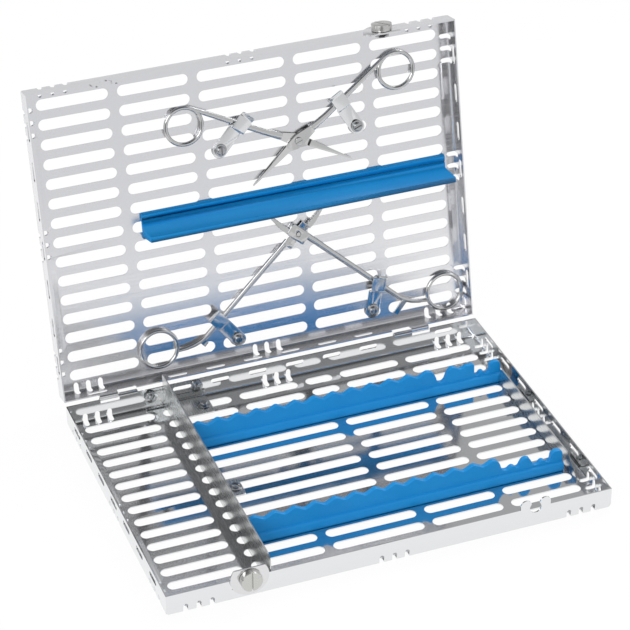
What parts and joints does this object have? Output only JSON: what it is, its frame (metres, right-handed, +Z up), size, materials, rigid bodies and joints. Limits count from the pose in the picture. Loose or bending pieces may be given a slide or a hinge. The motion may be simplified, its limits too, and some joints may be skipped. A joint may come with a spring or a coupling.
{
  "type": "dental instrument cassette",
  "caption": "Hinged perforated steel case for dental instruments, open, with silicone combs, a divider, latches and clips that hold scissors and a needle holder in the lid.",
  "frame": {"origin": "on the floor under the middle of the box of the opened case", "axes": "+X along the hinge to the right seen from the front, +Y to the back, +Z up"},
  "size_m": [0.28, 0.2654, 0.2189],
  "materials": {
    "tray_steel": "electropolished sheet steel, satin to bright",
    "sheet_steel": "folded sheet steel, fine grain",
    "latch_steel": "turned steel, satin",
    "fastener_steel": "bright fastener steel",
    "instrument_steel": "polished instrument steel",
    "silicone": "moulded blue silicone, soft satin"
  },
  "bodies": {
    "base": {"base_tray": "tray_steel", "base_latch_plate": "latch_steel", "hinge_pin_left": "fastener_steel", "hinge_pin_right": "fastener_steel", "front_comb": "silicone", "rear_comb": "silicone", "divider": "sheet_steel", "divider_floor_screw_1": "fastener_steel", "divider_floor_screw_2": "fastener_steel", "divider_rear_screw_1": "fastener_steel", "divider_rear_screw_2": "fastener_steel", "rack_end": "sheet_steel", "rack_rivet_1": "fastener_steel", "rack_rivet_2": "fastener_steel"},
    "lid": {"lid_tray": "tray_steel", "lid_latch_plate": "latch_steel", "lid_bar": "silicone", "clip_bolt_1": "fastener_steel", "clip_bolt_2": "fastener_steel", "clip_bolt_3": "fastener_steel", "clip_bolt_4": "fastener_steel", "clip_nut_1": "fastener_steel", "clip_nut_2": "fastener_steel", "clip_nut_3": "fastener_steel", "clip_nut_4": "fastener_steel", "scissors_upper": "instrument_steel", "scissors_lower": "instrument_steel", "scissors_screw": "instrument_steel", "needle_holder_box_half": "instrument_steel", "needle_holder_waist_half": "instrument_steel", "needle_holder_pin": "instrument_steel"},
    "base_latch": {"base_latch_knob": "latch_steel", "base_latch_cam": "fastener_steel"},
    "lid_latch": {"lid_latch_knob": "latch_steel", "lid_latch_cam": "fastener_steel"},
    "clip_1": {"clip_1": "sheet_steel"},
    "clip_2": {"clip_2": "sheet_steel"},
    "clip_3": {"clip_3": "sheet_steel"},
    "clip_4": {"clip_4": "sheet_steel"}
  },
  "joints": [
    {"name": "lid_hinge", "type": "hinge", "parent": "base", "child": "lid", "pos_m": [0, 0.07627, 0.0133], "axis": [1, 0, 0], "range_deg": [0, 101.9]},
    {"name": "base_latch_turn", "type": "hinge", "parent": "base", "child": "base_latch", "pos_m": [-0.09, -0.12813, 0.0146], "axis": [0, 1, 0], "range_deg": [0, 90]},
    {"name": "lid_latch_turn", "type": "hinge", "parent": "lid", "child": "lid_latch", "pos_m": [0.09, 0.11901, 0.21318], "axis": [0, -0.2062, -0.9785], "range_deg": [0, 90]},
    {"name": "clip_1_swivel", "type": "hinge", "parent": "lid", "child": "clip_1", "pos_m": [-0.0184, 0.11974, 0.14972], "axis": [0, -0.9785, 0.2062], "range_deg": [-60, 60]},
    {"name": "clip_2_swivel", "type": "hinge", "parent": "lid", "child": "clip_2", "pos_m": [0.0732, 0.11954, 0.14879], "axis": [0, -0.9785, 0.2062], "range_deg": [-60, 60]},
    {"name": "clip_3_swivel", "type": "hinge", "parent": "lid", "child": "clip_3", "pos_m": [-0.0189, 0.09345, 0.02496], "axis": [0, -0.9785, 0.2062], "range_deg": [-60, 60]},
    {"name": "clip_4_swivel", "type": "hinge", "parent": "lid", "child": "clip_4", "pos_m": [0.0745, 0.09342, 0.02482], "axis": [0, -0.9785, 0.2062], "range_deg": [-40, 60]}
  ]
}
